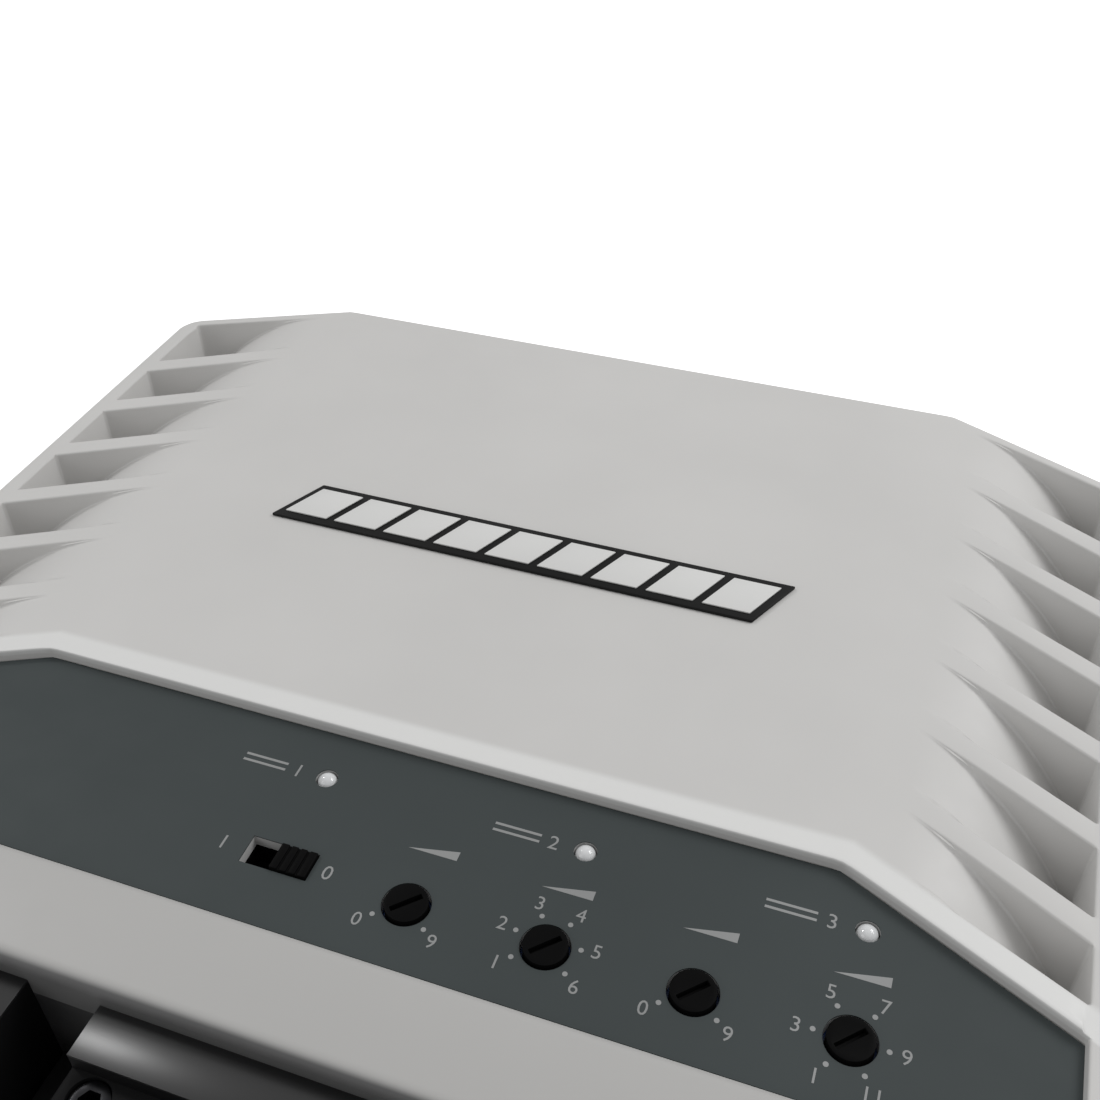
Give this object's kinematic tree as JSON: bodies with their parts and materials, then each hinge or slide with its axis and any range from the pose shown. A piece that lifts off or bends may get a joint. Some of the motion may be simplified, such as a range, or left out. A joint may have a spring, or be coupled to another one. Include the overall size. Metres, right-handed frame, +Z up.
{
  "type": "car audio amplifier",
  "caption": "Finned cast amplifier shell with a sunk control panel, turning trimmers, a slide switch and front screw terminals.",
  "frame": {"origin": "middle of the base, at the bottom of the base plate", "axes": "+Z up through the finned top, -Y out of the terminals, +X towards the signal jacks"},
  "size_m": [0.198, 0.185, 0.0553],
  "materials": {
    "cast_shell": "satin light grey powder coat on die cast aluminium",
    "black_steel": "fine textured black powder coat",
    "black_rubber": "matt",
    "black_screws": "black oxide",
    "zinc_screws": "bright zinc",
    "panel_casting": "light grey painted casting",
    "overlay_print": "dark grey printed film with pale dots and scale numbers",
    "badge_black": "satin black",
    "badge_silver": "light silver",
    "circuit_board": "green solder mask",
    "trimmer_blue": "moulded",
    "control_black": "moulded black",
    "tinned_steel": "tinned",
    "indicator_lens": "clear diffused lens",
    "terminal_plastic": "polished black moulding",
    "terminal_brass": "plated brass barrels",
    "set_screw_steel": "plated steel",
    "moulded_black": "moulded black",
    "gold_contacts": "gold plated",
    "jack_nickel": "nickel plated",
    "jack_insulator": "white moulding",
    "ribbon_grey": "grey ribbon",
    "chip_epoxy": "black moulding",
    "ferrite": "sintered ferrite",
    "copper_winding": "enamelled copper wire",
    "capacitor_sleeve": "shrink sleeve",
    "thermal_pad": "silicone pad",
    "clamp_aluminium": "extruded bar"
  },
  "bodies": {
    "amplifier": {"heatsink_shell": "cast_shell", "base_plate": "black_steel", "base_gasket": "black_rubber", "base_screws": "black_screws", "front_plate": "black_steel", "front_plate_screws": "black_screws", "control_panel": "panel_casting", "panel_overlay": "overlay_print", "panel_gasket": "black_rubber", "badge_plate": "badge_black", "badge_inlay": "badge_silver", "control_board": "circuit_board", "control_board_screws": "zinc_screws", "bass_boost_trimmer": "trimmer_blue", "boost_frequency_trimmer": "trimmer_blue", "subsonic_trimmer": "trimmer_blue", "gain_trimmer": "trimmer_blue", "switch_case": "tinned_steel", "power_indicator": "indicator_lens", "output_clip_indicator": "indicator_lens", "input_clip_indicator": "indicator_lens", "power_terminal_block": "terminal_plastic", "power_terminal_barrels": "terminal_brass", "power_set_screws": "set_screw_steel", "speaker_terminal_block": "terminal_plastic", "speaker_terminal_barrels": "terminal_brass", "speaker_set_screws": "set_screw_steel", "remote_socket": "moulded_black", "remote_socket_contacts": "gold_contacts", "signal_jack_housing": "moulded_black", "signal_jack_shells": "jack_nickel", "signal_jack_insulators": "jack_insulator", "signal_jack_contacts": "gold_contacts", "main_board": "circuit_board", "main_board_screws": "zinc_screws", "board_headers": "moulded_black", "ribbon_cable": "ribbon_grey", "control_chips": "chip_epoxy", "transformer_core": "ferrite", "transformer_winding": "copper_winding", "output_inductor_core": "ferrite", "output_inductor_winding": "copper_winding", "input_capacitors": "capacitor_sleeve", "output_capacitors": "capacitor_sleeve", "left_transistors": "chip_epoxy", "right_transistors": "chip_epoxy", "left_thermal_pad": "thermal_pad", "right_thermal_pad": "thermal_pad", "left_clamp_bar": "clamp_aluminium", "right_clamp_bar": "clamp_aluminium", "left_clamp_screws": "zinc_screws", "right_clamp_screws": "zinc_screws"},
    "bass_boost_knob": {"bass_boost_knob": "control_black"},
    "boost_frequency_knob": {"boost_frequency_knob": "control_black"},
    "subsonic_knob": {"subsonic_knob": "control_black"},
    "gain_knob": {"gain_knob": "control_black"},
    "switch_button": {"switch_button": "control_black"}
  },
  "joints": [
    {"name": "bass_boost_turn", "type": "hinge", "parent": "amplifier", "child": "bass_boost_knob", "pos_m": [0.01, -0.0446, 0.0528], "axis": [0, 0, 1], "range_deg": [-150, 150]},
    {"name": "boost_frequency_turn", "type": "hinge", "parent": "amplifier", "child": "boost_frequency_knob", "pos_m": [0.0296, -0.0446, 0.0528], "axis": [0, 0, 1], "range_deg": [-150, 150]},
    {"name": "subsonic_turn", "type": "hinge", "parent": "amplifier", "child": "subsonic_knob", "pos_m": [0.0492, -0.0446, 0.0528], "axis": [0, 0, 1], "range_deg": [-150, 150]},
    {"name": "gain_turn", "type": "hinge", "parent": "amplifier", "child": "gain_knob", "pos_m": [0.0688, -0.0446, 0.0528], "axis": [0, 0, 1], "range_deg": [-150, 150]},
    {"name": "switch_slide", "type": "slide", "parent": "amplifier", "child": "switch_button", "axis": [-1, 0, 0], "range_m": [0, 0.0045]}
  ]
}
